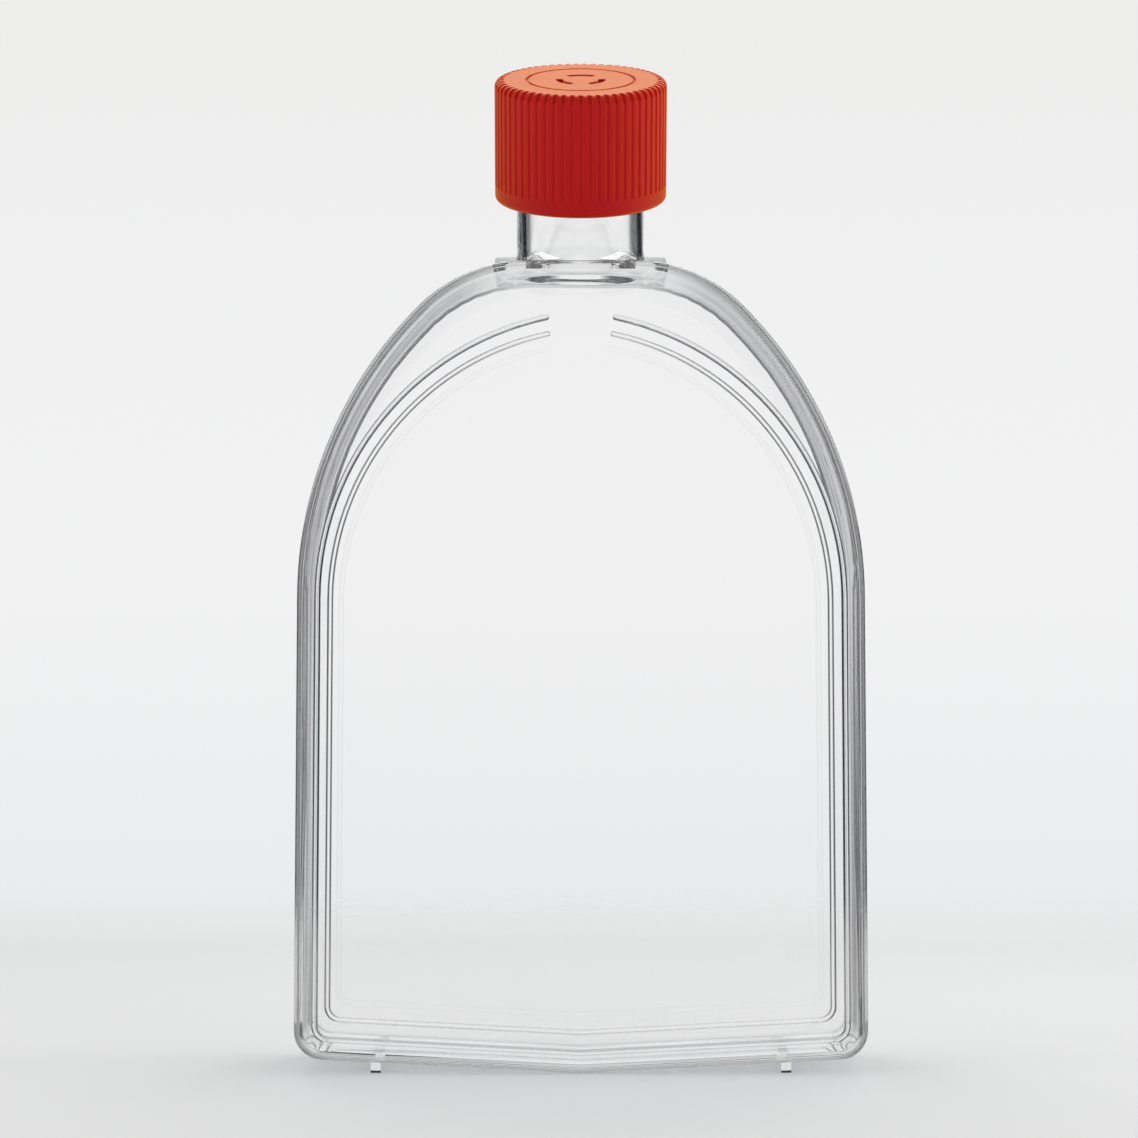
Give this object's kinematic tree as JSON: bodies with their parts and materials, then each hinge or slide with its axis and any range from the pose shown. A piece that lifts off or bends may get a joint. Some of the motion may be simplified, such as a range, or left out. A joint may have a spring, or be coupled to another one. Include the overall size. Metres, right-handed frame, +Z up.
{
  "type": "cell culture flask",
  "caption": "Clear moulded cell culture flask with curved shoulders, a canted neck, stacking beads and a vented screw cap; it stands on its end or lies on its growth side.",
  "frame": {"origin": "middle of the base wall's lowest line, midway between the two stacking beads, on the surface that the flask stands on", "axes": "+Z up through the standing flask to its neck, +X along its width, +Y towards the growth plate, so the top plate and the lean of the neck face -Y"},
  "size_m": [0.0848, 0.0352, 0.1524],
  "materials": {
    "clear_polystyrene": "clear, glossy moulded polystyrene",
    "orange_polyethylene": "orange-red moulded polyethylene, satin",
    "white_membrane": "matt white porous filter membrane"
  },
  "bodies": {
    "flask": {"growth_tray": "clear_polystyrene", "top_plate": "clear_polystyrene"},
    "lift": {"vent_membrane": "white_membrane"},
    "cap": {"cap_shell": "orange_polyethylene"}
  },
  "joints": [
    {"name": "cap_lift", "type": "slide", "parent": "flask", "child": "lift", "axis": [0, -0.3322, 0.9432], "range_m": [0, 0.0201]},
    {"name": "cap_turn", "type": "hinge", "parent": "lift", "child": "cap", "pos_m": [0, 0.0042, 0.12018], "axis": [0, -0.3322, 0.9432], "range_deg": [0, 1800]}
  ],
  "couplings": [
    {"joint": "cap_lift", "follows": "cap_turn", "m_per_rad": 0.00063662}
  ]
}
